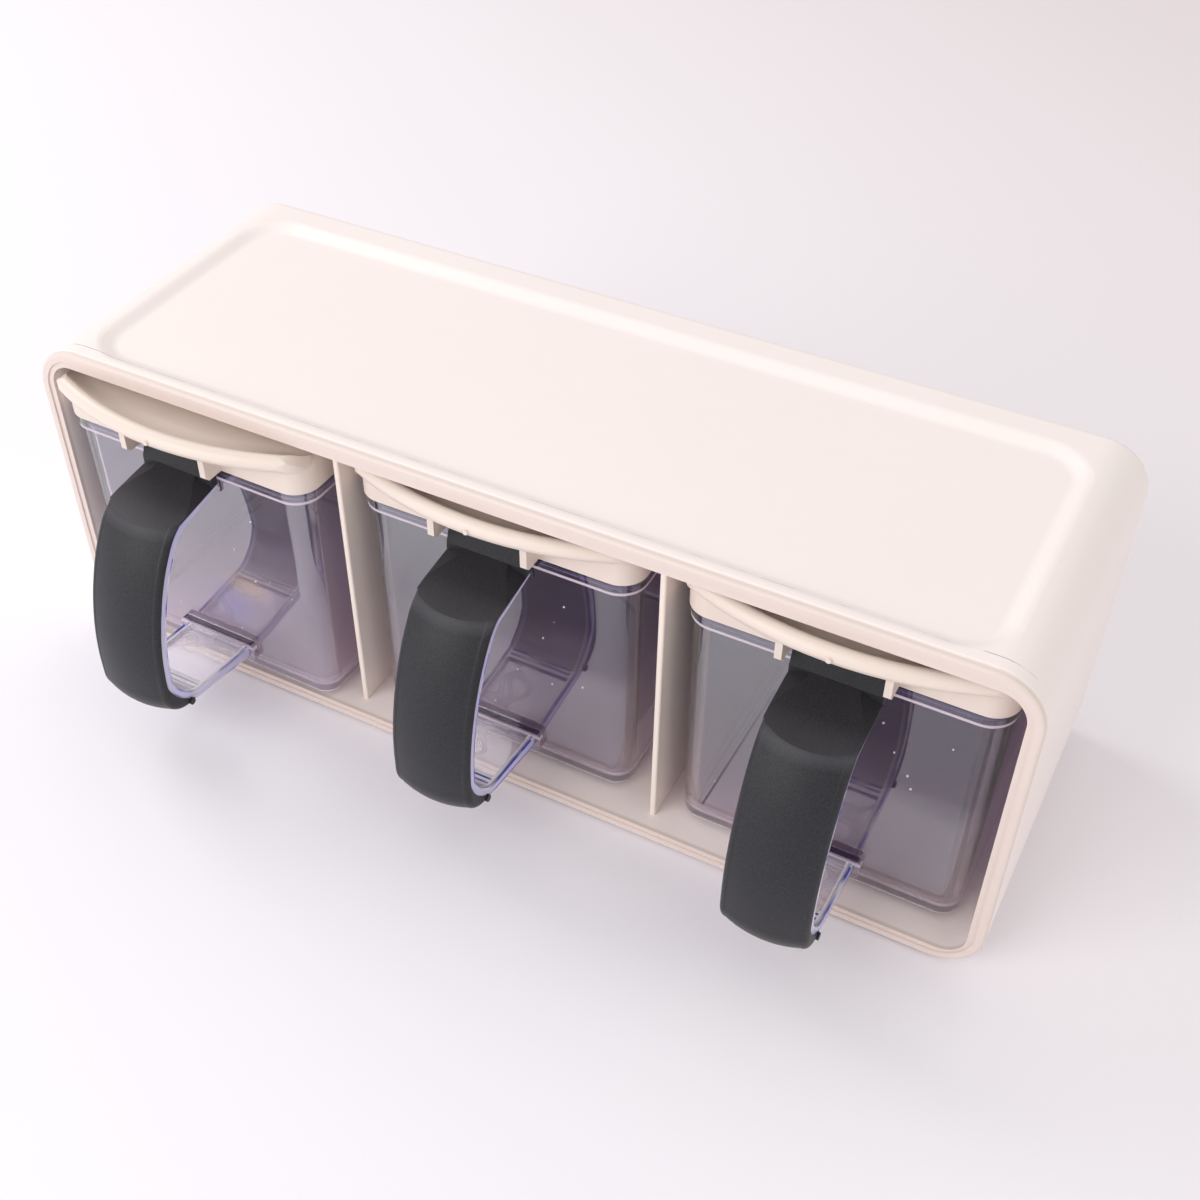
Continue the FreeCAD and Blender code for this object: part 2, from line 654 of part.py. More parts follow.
def make_frame(side):
    """The clear loop: top arm, belly and lower arm, one strip bent to the loop line."""
    frame = new_body(side + "_handle_frame")
    strip = new_sketch(frame, "strip", "YZ")
    inner = loop_line("inner_edge")
    outline(strip, [TOP_SEAM] + loop_line("grip_edge") + TOE_SEAM
            + [("toe_y", "handle_toe_height"),
               ("socket_front", "arm_height"), ("socket_front", "arm_top_wall"),
               ("arm_turn_y", "arm_turn_z", "toe_sweep - frame_wall", "right"),
               ("belly_y + inner_edge", "belly_z", "belly_radius - inner_edge", "right")]
            + turned(inner) + [("band_front", "thumb_rise - inner_edge / cos(thumb_slope)")])
    pad(frame, strip, "grip_width - 2 * frame_inset", both=True)
    groove = new_sketch(frame, "groove", "YZ")
    outline(groove, [("arm_turn_y + arm_thick", "arm_turn_z - arm_groove - arm_fall * arm_thick"),
                     ("socket_front - arm_edge", "arm_top_wall - arm_groove + arm_fall * arm_edge"),
                     ("socket_front - arm_edge", "arm_top_wall + overrun"),
                     ("arm_turn_y + arm_thick", "arm_turn_z + overrun")])
    pocket(frame, groove, "grip_width - 2 * frame_inset - 2 * arm_edge", both=True)
    eye = new_sketch(frame, "eye", "YZ")
    circle(eye, "toe_y - peg_inset", "handle_toe_height + peg_rise", "peg_radius")
    pocket(frame, eye, "grip_width", both=True)
    return frame


def make_grip(side):
    """The soft black cover: crowned outside, scooped for the thumb, with a flat plate on top."""
    grip = new_body(side + "_grip")
    shape = [("0 - grip_half", "belly_y + grip_core"),
             ("0 - grip_half", "belly_y + grip_round", "grip_round", "left"),
             ("grip_round - grip_half", "belly_y", "crown_radius", "left"),
             ("grip_half - grip_round", "belly_y", "grip_round", "left"),
             ("grip_half", "belly_y + grip_round"),
             ("grip_half", "belly_y + grip_core")]
    for name, points in (
            ("rise", [("belly_y", "belly_z", "belly_radius", "right"),
                      ("belly_end_y", "belly_end_z", "shoulder_radius", "right"),
                      ("shoulder_end_y", "shoulder_end_z", "crease_radius", "right"),
                      ("crease_y", "crease_z")]),
            ("fall", [("belly_y", "belly_z"),
                      ("belly_y", "curl_z", "curl_radius", "left"),
                      ("curl_y", "curl_z - curl_radius", "curl_radius", "left"),
                      ("toe_y", "handle_toe_height")])):
        section = new_sketch(grip, name + "_section", "XY", "belly_z")
        outline(section, shape)
        line = new_sketch(grip, name, "YZ")
        path(line, points)
        pipe = grip.newObject("PartDesign::AdditivePipe", grip.Label + "_" + name + "_pipe")
        pipe.Profile = section
        pipe.Spine = (line, [])
        settle(grip, pipe, 1)
    outer = loop_line("grip_edge")
    plate = new_sketch(grip, "plate", "YZ")
    outline(plate, [("crease_y", "crease_z"), outer[0][:2], TOP_SEAM,
                    ("band_front", "band_top"), ("neck_front", "band_top"),
                    ("neck_front", "plate_top"), ("plate_top_y", "plate_top"),
                    ("neck_y", "neck_z")])
    pad(grip, plate, "grip_width", both=True)
    hollow = new_sketch(grip, "hollow", "YZ")
    outline(hollow, [TOP_SEAM] + outer + TOE_SEAM + [("band_front", "handle_toe_height + toe_tip")])
    pocket(grip, hollow, "grip_width + 2 * overrun", both=True)
    scoop = new_sketch(grip, "scoop", "YZ")
    outline(scoop, [("crease_y - thumb_scoop_run", "crease_z - thumb_scoop_run * tan(thumb_slope)",
                     "scoop_radius", "left"),
                    ("neck_y", "neck_z"),
                    ("neck_y", "neck_z + thumb_scoop_run"),
                    ("crease_y - thumb_scoop_run", "neck_z + thumb_scoop_run")])
    pocket(grip, scoop, "grip_width + 2 * overrun", both=True)
    for name, sign in (("right", ""), ("left", "0 - ")):
        bevel = []
        for end, top in (("neck", "neck_z - thumb_scoop / 2"), ("crease", "crease_z")):
            width = "thumb_bevel_" + end
            sketch = new_sketch(grip, name + "_bevel_" + end, "XZ", "0 - %s_y" % end)
            outline(sketch, [(sign + "(grip_half - %s)" % width, top),
                             (sign + "(grip_half + %s)" % width, "%s - 2 * thumb_drop_%s" % (top, end)),
                             (sign + "(grip_half + %s)" % width, top + " + thumb_edge"),
                             (sign + "(grip_half - %s)" % width, top + " + thumb_edge")])
            bevel.append(sketch)
        loft(grip, "SubtractiveLoft", bevel, -1)
    peg = new_sketch(grip, "peg", "YZ")
    circle(peg, "toe_y - peg_inset", "handle_toe_height + peg_rise", "peg_radius")
    pad(grip, peg, "grip_width + 2 * peg_standout", both=True)
    return grip


def make_lid(side):
    """The lid: a skirt over the jar's neck, a rolled lip in front and ears beside the grip."""
    lid = new_body(side + "_lid")
    block = new_sketch(lid, "block", "XY", "skirt_bottom")
    outline(block, rounded("0 - skirt_half", "skirt_half", "skirt_front", "skirt_back",
                           "lid_corner"))
    pad(lid, block, "lid_height")
    soften(lid, "Fillet", "lid_round", level("Z", "lid_top"))
    lip = new_sketch(lid, "lip", "YZ")
    outline(lip, [("lip_front + lip_roll", "lip_top - 2 * lip_roll"),
                  ("skirt_front + lid_skirt_wall + lid_round", "lid_under"),
                  ("skirt_front + lid_skirt_wall + lid_round", "lid_top"),
                  ("lip_back_y + valley_radius * sin(45)", "lid_top", "valley_radius", "right"),
                  ("lip_back_y", "lip_back_z", "lip_roll", "left"),
                  ("lip_front", "lip_top - lip_roll", "lip_roll", "left")])
    low = Vector(value("lip_centre"), 0, 0)
    high = Vector(value("lip_centre"), value("lid_top"), 0)
    axis = lip.addGeometry(Part.LineSegment(low, high), True)
    pin_point(lip, axis, 1, "lip_centre", "0")
    pin_point(lip, axis, 2, "lip_centre", "lid_top")
    roll = lid.newObject("PartDesign::Revolution", lid.Label + "_roll")
    roll.Profile = lip
    roll.ReferenceAxis = (lip, ["Axis0"])
    roll.setExpression("Angle", text("2 * atan(skirt_half / (lip_centre - lip_corner_y))"))
    roll.Midplane = True
    settle(lid, roll, 1)
    for name, sign, turn in (("right", "", "right"), ("left", "0 - ", "left")):
        corner = new_sketch(lid, name + "_corner", "XY", "skirt_bottom")
        outline(corner, [(sign + "skirt_half", "lip_corner_y", "lip_corner", turn),
                         (sign + "lip_meet_x", "lip_meet_y"),
                         (sign + "lip_meet_x", "lip_front - overrun"),
                         (sign + "(skirt_half + lip_corner)", "lip_front - overrun"),
                         (sign + "(skirt_half + lip_corner)", "lip_corner_y")])
        pocket(lid, corner, "lid_height + lip_rise + overrun", back=True)
        end = new_sketch(lid, name + "_end", "XZ", "0 - skirt_front - lid_corner - lip_corner")
        outline(end, [(sign + "skirt_half", "lip_top - lip_end_round", "lip_end_round",
                       "left" if turn == "right" else "right"),
                      (sign + "(skirt_half - lip_end_round)", "lip_top"),
                      (sign + "(skirt_half - lip_end_round)", "lip_top + overrun"),
                      (sign + "(skirt_half + overrun)", "lip_top + overrun"),
                      (sign + "(skirt_half + overrun)", "lip_top - lip_end_round")])
        pocket(lid, end, "skirt_front + lid_corner + lip_corner + lip_reach + overrun", back=True)
    room = new_sketch(lid, "room", "XY", "skirt_bottom")
    outline(room, rounded("lid_skirt_wall - skirt_half", "skirt_half - lid_skirt_wall",
                          "skirt_front + lid_skirt_wall", "skirt_back - lid_skirt_wall",
                          "lid_corner - lid_skirt_wall"))
    pocket(lid, room, "lid_height - lid_top_wall", back=True)
    dish = [new_sketch(lid, "dish_rim", "XY", "lid_top"),
            new_sketch(lid, "dish_bed", "XY", "lid_top - lid_dish")]
    for sketch, inset in zip(dish, ("0", "lid_dish_ramp")):
        outline(sketch, rounded("lid_dish_margin - skirt_half + " + inset,
                                "skirt_half - lid_dish_margin - " + inset,
                                "skirt_front + lid_dish_margin + " + inset,
                                "skirt_back - lid_dish_margin - " + inset,
                                "lid_dish_margin - " + inset))
    loft(lid, "SubtractiveLoft", dish, -1)
    notch = new_sketch(lid, "notch", "XZ", "0 - skirt_front - lid_skirt_wall - overrun / 2")
    outline(notch, [("0 - ear_inner", "skirt_bottom - overrun"), ("ear_inner", "skirt_bottom - overrun"),
                    ("ear_inner", "plate_top + plate_top_gap"),
                    ("0 - ear_inner", "plate_top + plate_top_gap")])
    pocket(lid, notch, "lid_skirt_wall + overrun", back=True)
    for name, place in (("right_ear", "ear_inner"), ("left_ear", "0 - ear_inner - ear_wall")):
        ear = new_sketch(lid, name, "YZ", place)
        outline(ear, [("skirt_front - ear_reach + ear_chamfer", "skirt_bottom"),
                      ("skirt_front + lid_skirt_wall / 2", "skirt_bottom"),
                      ("skirt_front + lid_skirt_wall / 2", "lid_under + ear_top_bite"),
                      ("skirt_front - ear_reach", "lid_under + ear_top_bite"),
                      ("skirt_front - ear_reach", "skirt_bottom + ear_chamfer")])
        pad(lid, ear, "ear_wall")
    nub = new_sketch(lid, "nub", "XZ", "0 - lip_front - lip_roll / 2")
    circle(nub, "0", "lip_top - lip_roll", "nub_radius")
    pad(lid, nub, "lip_roll / 2 + nub_reach")
    knuckle = new_sketch(lid, "knuckle", "YZ")
    outline(knuckle, [("skirt_back - lid_skirt_wall / 2", "skirt_bottom"),
                      ("hinge_y - hinge_barrel", "skirt_bottom"),
                      ("hinge_y - hinge_barrel", "hinge_z", "hinge_barrel", "left"),
                      ("hinge_y", "hinge_z - hinge_barrel", "hinge_barrel", "left"),
                      ("hinge_y + hinge_barrel", "hinge_z", "hinge_barrel", "left"),
                      ("hinge_y + hinge_barrel * cos(45)", "hinge_z + hinge_barrel * sin(45)"),
                      ("skirt_back - lid_skirt_wall / 2",
                       "hinge_z + hinge_barrel * (sin(45) + cos(45)) + hinge_setback"
                       " + lid_skirt_wall / 2")])
    pad(lid, knuckle, "hinge_knuckle_width", both=True)
    bore = new_sketch(lid, "bore", "YZ")
    circle(bore, "hinge_y", "hinge_z", "hinge_pin_radius + hinge_run_gap")
    pocket(lid, bore, "hinge_knuckle_width + overrun", both=True)
    return lid


def make_pin(side):
    """The steel pin that the lid turns on."""
    pin = new_body(side + "_hinge_pin")
    rod = new_sketch(pin, "rod", "YZ")
    circle(rod, "hinge_y", "hinge_z", "hinge_pin_radius")
    pad(pin, rod, "hinge_knuckle_width + 4 * hinge_side_gap + 2 * hinge_lug_width", both=True)
    return pin


# The three containers in their places, the left one pulled out a little and turned a trace
for side, across, pulled, yaw in (
        ("left", "left_shift - side_centre", "left_pulled", "left_yaw"),
        ("middle", "middle_shift", "0", "0"),
        ("right", "side_centre + right_shift", "0", "0")):
    turn = Rotation(Vector(0, 0, 1), value(yaw))
    pivot = Vector(0, value("(skirt_front + skirt_back) / 2"), 0)
    spot = Vector(value(across), value("front_face - (%s)" % pulled), 0)
    place = Placement(spot, turn, pivot)
    for build in (make_jar, make_frame, make_grip, make_lid, make_pin):
        build(side).Placement = place
doc.recompute()

# Every object is sound and every piece is one closed solid before anything is written
for item in doc.Objects:
    if "Invalid" in item.State or "Error" in item.State:
        raise RuntimeError("object failed: " + item.Name)
for body in bodies:
    shape = body.Shape
    if shape.isNull() or not shape.isValid() or len(shape.Solids) != 1:
        raise RuntimeError("piece is not one sound solid: " + body.Label)
for body in bodies:
    body.Shape.exportStep(os.path.join("parts", body.Label + ".step"))
    box = body.Shape.BoundBox
    print("%-22s %8.0f mm3  x %.1f..%.1f  y %.1f..%.1f  z %.1f..%.1f" % (
        body.Label, body.Shape.Volume, box.XMin, box.XMax, box.YMin, box.YMax, box.ZMin, box.ZMax))
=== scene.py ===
# %% [markdown]
# # A spice box set, dressed for its picture
# The object is a white case with three open compartments. Each compartment holds a smoky
# clear container with a cream lid and a looped handle under a soft black cover.
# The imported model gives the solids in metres. This file gives them their finishes,
# a few details too fine for the solids, a floor, soft light and a camera.

import math

import bmesh
import bpy
from mathutils import Matrix, Vector
from mathutils.bvhtree import BVHTree


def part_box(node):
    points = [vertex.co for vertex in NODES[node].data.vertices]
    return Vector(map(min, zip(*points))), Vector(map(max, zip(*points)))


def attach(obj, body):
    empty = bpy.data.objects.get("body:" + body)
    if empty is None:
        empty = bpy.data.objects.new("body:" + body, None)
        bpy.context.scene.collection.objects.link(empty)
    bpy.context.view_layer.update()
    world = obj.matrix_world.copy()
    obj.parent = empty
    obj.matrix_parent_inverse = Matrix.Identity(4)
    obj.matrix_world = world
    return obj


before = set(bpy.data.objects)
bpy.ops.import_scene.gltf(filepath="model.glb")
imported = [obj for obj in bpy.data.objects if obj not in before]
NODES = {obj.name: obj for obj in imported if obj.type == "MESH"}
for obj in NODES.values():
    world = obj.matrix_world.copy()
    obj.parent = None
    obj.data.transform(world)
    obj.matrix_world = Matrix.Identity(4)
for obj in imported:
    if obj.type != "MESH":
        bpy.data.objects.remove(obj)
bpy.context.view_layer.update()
SIDES = ("left", "middle", "right")
print("pieces from the model:", len(NODES))

# %% [markdown]
# ## The camera
# The picture was taken from above and a little to the right, fairly close, so the verticals
# lean together. Place and direction were worked out from the case's straight edges.
# A camera in Blender looks down its own -Z axis, so its matrix is made of the picture's
# right, its up and the way back towards the eye.

# %% Place the camera
CAMERA_PLACE = Vector((0.17055, -0.31519, 0.35573))
LOOK = Vector((-0.33892, 0.65933, -0.67113)).normalized()
RIGHT = Vector((0.88572, 0.46415, 0.00871)).normalized()
up = RIGHT.cross(LOOK).normalized()
camera_data = bpy.data.cameras.new("camera")
SENSOR_WIDTH = 36.0
FOCAL_PIXELS, PICTURE_PIXELS = 1556.0, 1200.0
camera_data.sensor_width = SENSOR_WIDTH
camera_data.lens = FOCAL_PIXELS / PICTURE_PIXELS * SENSOR_WIDTH
camera_data.clip_start = 0.01
camera_data.clip_end = 50.0
camera = bpy.data.objects.new("camera", camera_data)
bpy.context.scene.collection.objects.link(camera)
turned = Matrix((RIGHT, up, -LOOK)).transposed().to_4x4()
camera.matrix_world = Matrix.Translation(CAMERA_PLACE) @ turned
bpy.context.scene.camera = camera
print("lens in mm:", round(camera_data.lens, 2))

# %% [markdown]
# ## Writing shaders as sums
# A finish is a net of nodes. Sums are easier to read than links, so one small class wraps
# a socket: adding or multiplying two of them adds the Math node that does it.

# %% A class for shader sums
class Sock:
    """One output socket of a material, with the usual arithmetic."""

    def __init__(self, net, socket):
        self.net = net
        self.socket = socket

    def _math(self, operation, first, second=None):
        return self.net.node("ShaderNodeMath", {"operation": operation}, {0: first, 1: second})[0]

    def __add__(self, other):
        return self._math("ADD", self, other)

    def __sub__(self, other):
        return self._math("SUBTRACT", self, other)

    def __rsub__(self, other):
        return self._math("SUBTRACT", other, self)

    def __mul__(self, other):
        return self._math("MULTIPLY", self, other)

    def clamp(self):
        return self._math("MINIMUM", self._math("MAXIMUM", self, 0.0), 1.0)

    __radd__ = __add__
    __rmul__ = __mul__


class Net:
    """The node net of one material."""

    def __init__(self, name):
        self.material = bpy.data.materials.new(name)
        self.material.use_nodes = True
        self.tree = self.material.node_tree
        self.tree.nodes.clear()
        self.output = self.tree.nodes.new("ShaderNodeOutputMaterial")

    def node(self, kind, settings=None, values=None):
        """Add a node, set it up, then fill its sockets with values or links."""
        made = self.tree.nodes.new(kind)
        for key, value in (settings or {}).items():
            setattr(made, key, value)
        for key, value in (values or {}).items():
            if value is None:
                continue
            if isinstance(value, Sock):
                self.tree.links.new(value.socket, made.inputs[key])
            else:
                made.inputs[key].default_value = value
        return [Sock(self, socket) for socket in made.outputs if socket.enabled]

    def place(self):
        """Where a point lies on the object, in metres."""
        made = self.tree.nodes.new("ShaderNodeTexCoord")
        return Sock(self, made.outputs["Object"])

    def noise(self, scale, detail=2.0, rough=0.5, where=None):
        """Soft random spots, some 1 / scale metres across."""
        return self.node("ShaderNodeTexNoise", {}, {
            "Vector": where or self.place(), "Scale": scale, "Detail": detail,
            "Roughness": rough})[0]

    def mix(self, share, first, second):
        """Blend two colours."""
        made = self.tree.nodes.new("ShaderNodeMix")
        made.data_type = "RGBA"
        for key, value in ((0, share), (6, first), (7, second)):
            if isinstance(value, Sock):
                self.tree.links.new(value.socket, made.inputs[key])
            else:
                made.inputs[key].default_value = value
        return Sock(self, made.outputs[2])

    def bump(self, height, strength, distance):
        """Tilt the surface as if it were raised by the height."""
        return self.node("ShaderNodeBump", {}, {
            "Height": height, "Strength": strength, "Distance": distance})[0]

    def surface(self, **values):
        """The plastic, rubber or metal itself."""
        inputs = {key.replace("_", " "): value for key, value in values.items()}
        made = self.node("ShaderNodeBsdfPrincipled", {}, inputs)[0]
        self.tree.links.new(made.socket, self.output.inputs["Surface"])
        return self.material

    def over(self, mask, **values):
        """A second surface that shows as far as the mask says."""
        inputs = {key.replace("_", " "): value for key, value in values.items()}
        below = self.output.inputs["Surface"].links[0].from_socket
        above = self.node("ShaderNodeBsdfPrincipled", {}, inputs)[0]
        blend = self.tree.nodes.new("ShaderNodeMixShader")
        for socket, source in zip(blend.inputs, (mask.socket, below, above.socket)):
            self.tree.links.new(source, socket)
        self.tree.links.new(blend.outputs[0], self.output.inputs["Surface"])

    def let_light_through(self, tint):
        """Give way to the lamps' light, so that what stands behind a clear wall is lit."""
        solid = self.output.inputs["Surface"].links[0].from_socket
        path = self.tree.nodes.new("ShaderNodeLightPath")
        open_way = self.node("ShaderNodeBsdfTransparent", {}, {"Color": tint})[0]
        blend = self.tree.nodes.new("ShaderNodeMixShader")
        self.tree.links.new(path.outputs["Is Shadow Ray"], blend.inputs[0])
        self.tree.links.new(solid, blend.inputs[1])
        self.tree.links.new(open_way.socket, blend.inputs[2])
        self.tree.links.new(blend.outputs[0], self.output.inputs["Surface"])
        return self.material


def between(value, low, high, soft=0.00015):
    """1 where the value lies between low and high, 0 outside, with a soft step."""
    above = ((value - low) * (1.0 / soft) + 0.5).clamp()
    below = ((high - value) * (1.0 / soft) + 0.5).clamp()
    return above * below


def paint(red, green, blue):
    """A colour as it looks on screen, 0 to 255, in the renderer's own scale."""
    return tuple(((c / 255 + 0.055) / 1.055) ** 2.4 for c in (red, green, blue)) + (1.0,)


print("shader helpers ready")

# %% [markdown]
# ## White moulded plastic
# The case is injection moulded in a warm white with a satin skin. Up close such a skin has
# a very fine grain from the mould, and large faces are never quite even in tone.
# A fine noise drives the bump, and a broad one shifts colour and gloss by a trace.
# The bezel is painted a darker beige on its front faces than on its inner side, which has the
# paler tone of the case's floor: painted shade on the front.

# %% Case and lid plastics
SEAM_HALF = 0.00011
SEAM_FROM = 0.1055
INNER_TONE = paint(249, 237, 232)


def moulded(name, light, shade, rough, grain=0.10, seam_y=None, inner=None):
    """Satin plastic: broad change of tone, fine mould grain, a fine seam and a paler inner
    side where asked."""
    net = Net(name)
    broad = net.noise(9.0, 2.0)
    fine = net.noise(2600.0, 3.0, 0.6)
    mid = net.noise(140.0, 4.0, 0.6)
    colour = net.mix(((broad * 0.7 + mid * 0.3) - 0.25).clamp(), light, shade)
    if inner is not None:
        depth = net.node("ShaderNodeSeparateXYZ", {}, {"Vector": net.place()})[1]
        colour = net.mix(between(depth, inner, 1.0, 0.0008), colour, INNER_TONE)
    if seam_y is not None:
        where = net.node("ShaderNodeSeparateXYZ", {}, {"Vector": net.place()})
        broken = ((mid - 0.46) * 9.0).clamp() * 0.6 + 0.12
        line = between(where[1], seam_y - SEAM_HALF, seam_y + SEAM_HALF, 0.0001)
        line = line * between(where[2], SEAM_FROM, 0.2)
        colour = net.mix(line * broken, colour, paint(120, 98, 96))
    gloss = broad * 0.06 + fine * 0.05 + (rough - 0.055)
    normal = net.bump(fine + mid * 0.4, grain, 0.00008)
    return net.surface(Base_Color=colour, Roughness=gloss, Normal=normal,
                       Specular_IOR_Level=0.45, Coat_Weight=0.04, Coat_Roughness=0.35)


def dress(names, finish):
    """Give one finish to the named pieces of the model."""
    for name in names:
        NODES[name].data.materials.clear()
        NODES[name].data.materials.append(finish)
    print(finish.name, "on", len(names), "pieces")


SEAM_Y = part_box("bezel_top")[1][1]
FRONT_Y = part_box("bezel_top")[0][1]
BEZEL_ROUND = 0.0016
CASE_WHITE = moulded("case_white", paint(249, 238, 235), paint(245, 231, 227), 0.44,
                     seam_y=SEAM_Y)
# painted shade: the bezel's front faces are darker than its inner side
BEZEL_CREAM = moulded("bezel_cream", paint(228, 212, 205), paint(223, 205, 197), 0.42,
                      seam_y=SEAM_Y, inner=FRONT_Y + BEZEL_ROUND)
LID_CREAM = moulded("lid_cream", paint(231, 216, 206), paint(225, 209, 197), 0.38)
DIVIDER_CREAM = moulded("divider_cream", paint(243, 229, 219), paint(238, 222, 211), 0.46)
dress(["case_shell"], CASE_WHITE)
dress([name for name in NODES if name.startswith("bezel")], BEZEL_CREAM)
dress([name for name in NODES if name.endswith("divider")], DIVIDER_CREAM)
dress([side + "_lid" for side in SIDES], LID_CREAM)

# %% [markdown]
# ## A container's own measure
# The three containers are alike, but the left one stands a little out and turned. A pattern
# that is written once, in metres from the front middle of a container, is moved to each of
# them by a Mapping node that undoes the container's place and turn.

# %% Place of each container
TURN_DEPTH = 0.05045
PLACES = {"left": (-0.0986, -0.01035, math.radians(-0.9)),
          "middle": (-0.00185, -0.00155, 0.0),
          "right": (0.09835, -0.00155, 0.0)}


def to_part(side, point):
    """A point of a container's own measure, moved to where the container stands."""
    x, y, turn = PLACES[side]
    return Vector((x, y, 0.0)) + Matrix.Rotation(turn, 3, "Z") @ (
        Vector(point) - Vector((0.0, TURN_DEPTH, 0.0)))


def own_measure(net, side):
    """The container's own x, y and z inside a material."""
    x, y, turn = PLACES[side]
    shift = Vector((0.0, TURN_DEPTH, 0.0)) - Matrix.Rotation(-turn, 3, "Z") @ Vector((x, y, 0.0))
    moved = net.node("ShaderNodeMapping", {}, {
        "Vector": net.place(), "Rotation": (0.0, 0.0, -turn), "Location": shift})[0]
    return net.node("ShaderNodeSeparateXYZ", {}, {"Vector": moved})


for side in SIDES:
    print(side, "front middle at", [round(v, 4) for v in to_part(side, (0.0, 0.0, 0.0))])

# %% [markdown]
# ## Smoky clear plastic
# The containers and handle loops are clear styrene with a purple-grey tint. Light that
# passes a wall loses a little, so thick edges look bluer than the flat walls.
# A transmission surface with the tint as its colour does this at every wall. The loop's borders
# and the container's rim and foot show as thin violet and white lines; the white ones are painted
# highlights, and they and a pale painted veil on the lower walls come from a second, brighter
# surface. The navy line under the lid and the dark lines at foot and socket are painted shade, the
# tint is painted darker towards the top and lighter in the left container, and the dark line on
# the right container's wall is a painted reflection. These lines, the stress colours on the left
# wall and the dimmer upper halves are placed by position, to look like the photograph. They stand
# for reflections, shade and moulding marks, and aren't worked out from the light. The tables of
# veil, shade, stress, reflection line and tints therefore differ between containers that are
# alike.

# %% Clear parts
# painted light and shade: how strong the pale veil and the dimming of the upper halves are in each
# container
PAINTED_VEIL = {"left": 0.16, "middle": 0.05, "right": 0.04}
SHADE = {"left": 0.05, "middle": 0.55, "right": 0.66}
STRESS = {"left": 0.75, "middle": 0.0, "right": 0.0}
# a painted reflection: how dark the diagonal line on a front wall is
REFLECTION_LINE = {"left": 0.0, "middle": 0.0, "right": 0.85}
# painted shade and light: each container's tint at the foot and at the top, darker at the top and
# lighter in the left one
LIT_AND_SHADED_TINTS = {"left": (paint(244, 224, 236), paint(198, 192, 214)),
         "middle": (paint(222, 202, 214), paint(166, 162, 182)),
         "right": (paint(220, 200, 210), paint(164, 160, 178))}
FRONT_WALL = (0.0060, 0.0100)
SLANT_COSINE, SLANT_SINE = 0.952, 0.306


def smoky(net, tint, painted_light_colour, lines, painted_light_share, coat_ior, coat=1.0):
    """Clear tinted plastic; lines are pairs of mask and colour; the second colour and the last
    mask give a brighter diffuse surface that paints light and highlights.
    """
    flow = net.noise(26.0, 3.0, 0.55)
    dust = net.noise(900.0, 2.0, 0.5)
    colour = tint
    for mask, shade in lines:
        colour = net.mix(mask, colour, shade)
    gloss = (dust - 0.55).clamp() * 0.12 + 0.02
    normal = net.bump(flow, 0.05, 0.0006)
    net.surface(Base_Color=colour, Roughness=gloss, Normal=normal, Transmission_Weight=1.0,
                IOR=1.5, Coat_Weight=coat, Coat_IOR=coat_ior, Coat_Roughness=0.02)
    # painted light: a brighter diffuse surface, shown as far as its mask says
    net.over(painted_light_share, Base_Color=painted_light_colour, Roughness=gloss + 0.2, Specular_IOR_Level=0.7,
             Transmission_Weight=0.12)
    return net.let_light_through(paint(232, 228, 236))


def spot(first, second, middle, radius, flat=1.0):
    """A soft round spot of two measures."""
    across = first - middle[0]
    along = (second - middle[1]) * flat
    return (1.0 - (across * across + along * along) * (1.0 / radius ** 2)).clamp()


def stress_and_reflection_marks(side, x, y, z):
    """Stress colours on the left front wall, and a painted reflection, a dark diagonal line, on
    the right one.
    """
    front = between(y, *FRONT_WALL, 0.0004)
    amber = front * spot(x, z, (0.0150, 0.0425), 0.0105, 1.7) * STRESS[side]
    blue = front * spot(x, z, (0.0080, 0.0320), 0.0100) * STRESS[side]
    slant = x * SLANT_COSINE - z * SLANT_SINE
    fade = (1.25 - z * 15.0).clamp()
    # painted reflection: a dark diagonal line on the front wall
    dark_reflection = front * between(slant, -0.03720, -0.03652, 0.0003) * between(z, 0.0145, 0.0700, 0.001)
    return amber, blue, dark_reflection * fade * REFLECTION_LINE[side]


